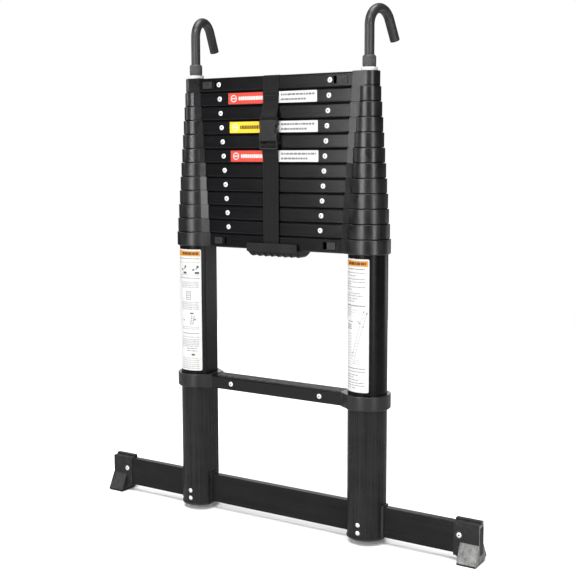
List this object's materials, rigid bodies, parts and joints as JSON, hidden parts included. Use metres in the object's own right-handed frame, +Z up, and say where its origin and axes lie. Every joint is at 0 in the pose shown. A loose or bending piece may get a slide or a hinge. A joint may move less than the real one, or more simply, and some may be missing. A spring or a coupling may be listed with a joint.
{
  "type": "telescoping ladder",
  "caption": "Telescoping ladder, closed: nested tubes with stacked rungs, roof hooks, carry grip, strap and a stabiliser bar with feet.",
  "frame": {"origin": "floor level, middle of the whole object's footprint", "axes": "+X along the rungs, +Y towards the open side of the roof hooks, +Z up along the tubes"},
  "size_m": [0.8748, 0.136, 1.0296],
  "materials": {
    "tube_black": "satin black coating on aluminium",
    "rung_black": "fine extruded grain, satin black",
    "bar_black": "satin black coating",
    "collar_plastic": "moulded, slightly scuffed dark grey",
    "cap_plastic": "moulded black",
    "grip_plastic": "moulded dark grey",
    "slider_plastic": "moulded dark grey",
    "foot_rubber": "hard rubber, worn toes",
    "hook_coat": "dark grey textured coating",
    "sleeve_plastic": "ribbed moulding",
    "bush_nylon": "pale nylon",
    "rivet_metal": "bright",
    "webbing": "woven black webbing",
    "buckle_plastic": "moulded black",
    "sticker": "printed sticker"
  },
  "bodies": {
    "base": {"base_tubes": "tube_black", "base_collars": "collar_plastic", "base_rung": "rung_black", "lower_collars": "collar_plastic", "lower_rung": "rung_black", "base_fasteners": "rivet_metal", "stabiliser_bar": "bar_black", "stabiliser_feet": "foot_rubber", "tube_end_caps": "cap_plastic", "bar_trims": "cap_plastic", "carry_grip": "grip_plastic", "strap_anchor": "webbing"},
    "section_11": {"tubes_11": "tube_black", "collars_11": "collar_plastic", "rung_11": "rung_black"},
    "section_10": {"tubes_10": "tube_black", "collars_10": "collar_plastic", "rung_10": "rung_black"},
    "section_09": {"tubes_09": "tube_black", "collars_09": "collar_plastic", "rung_09": "rung_black"},
    "section_08": {"tubes_08": "tube_black", "collars_08": "collar_plastic", "rung_08": "rung_black"},
    "section_07": {"tubes_07": "tube_black", "collars_07": "collar_plastic", "rung_07": "rung_black"},
    "section_06": {"tubes_06": "tube_black", "collars_06": "collar_plastic", "rung_06": "rung_black"},
    "section_05": {"tubes_05": "tube_black", "collars_05": "collar_plastic", "rung_05": "rung_black"},
    "section_04": {"tubes_04": "tube_black", "collars_04": "collar_plastic", "rung_04": "rung_black"},
    "section_03": {"tubes_03": "tube_black", "collars_03": "collar_plastic", "rung_03": "rung_black"},
    "section_02": {"tubes_02": "tube_black", "collars_02": "collar_plastic", "rung_02": "rung_black"},
    "section_01": {"tubes_01": "tube_black", "collars_01": "collar_plastic", "rung_01": "rung_black", "hook_bushes": "bush_nylon", "strap_upper": "webbing", "buckle_socket": "buckle_plastic"},
    "strap_lower": {"strap_lower": "webbing", "buckle_plug": "buckle_plastic"},
    "release_left": {"release_left": "slider_plastic"},
    "latch_left": {"latch_left": "slider_plastic"},
    "hook_left": {"hook_left": "hook_coat", "hook_sleeve_left": "sleeve_plastic"},
    "release_right": {"release_right": "slider_plastic"},
    "latch_right": {"latch_right": "slider_plastic"},
    "hook_right": {"hook_right": "hook_coat", "hook_sleeve_right": "sleeve_plastic"}
  },
  "joints": [
    {"name": "section_11_slide", "type": "slide", "parent": "base", "child": "section_11", "axis": [0, 0, 1], "range_m": [0, 0.268]},
    {"name": "section_10_slide", "type": "slide", "parent": "section_11", "child": "section_10", "axis": [0, 0, 1], "range_m": [0, 0.268]},
    {"name": "section_09_slide", "type": "slide", "parent": "section_10", "child": "section_09", "axis": [0, 0, 1], "range_m": [0, 0.268]},
    {"name": "section_08_slide", "type": "slide", "parent": "section_09", "child": "section_08", "axis": [0, 0, 1], "range_m": [0, 0.268]},
    {"name": "section_07_slide", "type": "slide", "parent": "section_08", "child": "section_07", "axis": [0, 0, 1], "range_m": [0, 0.268]},
    {"name": "section_06_slide", "type": "slide", "parent": "section_07", "child": "section_06", "axis": [0, 0, 1], "range_m": [0, 0.268]},
    {"name": "section_05_slide", "type": "slide", "parent": "section_06", "child": "section_05", "axis": [0, 0, 1], "range_m": [0, 0.268]},
    {"name": "section_04_slide", "type": "slide", "parent": "section_05", "child": "section_04", "axis": [0, 0, 1], "range_m": [0, 0.268]},
    {"name": "section_03_slide", "type": "slide", "parent": "section_04", "child": "section_03", "axis": [0, 0, 1], "range_m": [0, 0.268]},
    {"name": "section_02_slide", "type": "slide", "parent": "section_03", "child": "section_02", "axis": [0, 0, 1], "range_m": [0, 0.268]},
    {"name": "section_01_slide", "type": "slide", "parent": "section_02", "child": "section_01", "axis": [0, 0, 1], "range_m": [0, 0.268]},
    {"name": "release_left_slide", "type": "slide", "parent": "base", "child": "release_left", "axis": [1, 0, 0], "range_m": [0, 0.01], "stiffness_N_per_m": 300, "springref_m": -0.006},
    {"name": "latch_left_slide", "type": "slide", "parent": "section_01", "child": "latch_left", "axis": [1, 0, 0], "range_m": [0, 0.008], "stiffness_N_per_m": 300, "springref_m": -0.006},
    {"name": "hook_left_lift", "type": "slide", "parent": "section_01", "child": "hook_left", "axis": [0, 0, 1], "range_m": [0, 0.12]},
    {"name": "release_right_slide", "type": "slide", "parent": "base", "child": "release_right", "axis": [-1, 0, 0], "range_m": [0, 0.01], "stiffness_N_per_m": 300, "springref_m": -0.006},
    {"name": "latch_right_slide", "type": "slide", "parent": "section_01", "child": "latch_right", "axis": [-1, 0, 0], "range_m": [0, 0.008], "stiffness_N_per_m": 300, "springref_m": -0.006},
    {"name": "hook_right_lift", "type": "slide", "parent": "section_01", "child": "hook_right", "axis": [0, 0, 1], "range_m": [0, 0.12]},
    {"name": "strap_fold", "type": "hinge", "parent": "base", "child": "strap_lower", "pos_m": [-0.003, -0.05045, 0.5765], "axis": [1, 0, 0], "range_deg": [0, 175], "deforming": ["buckle_plug"]}
  ]
}
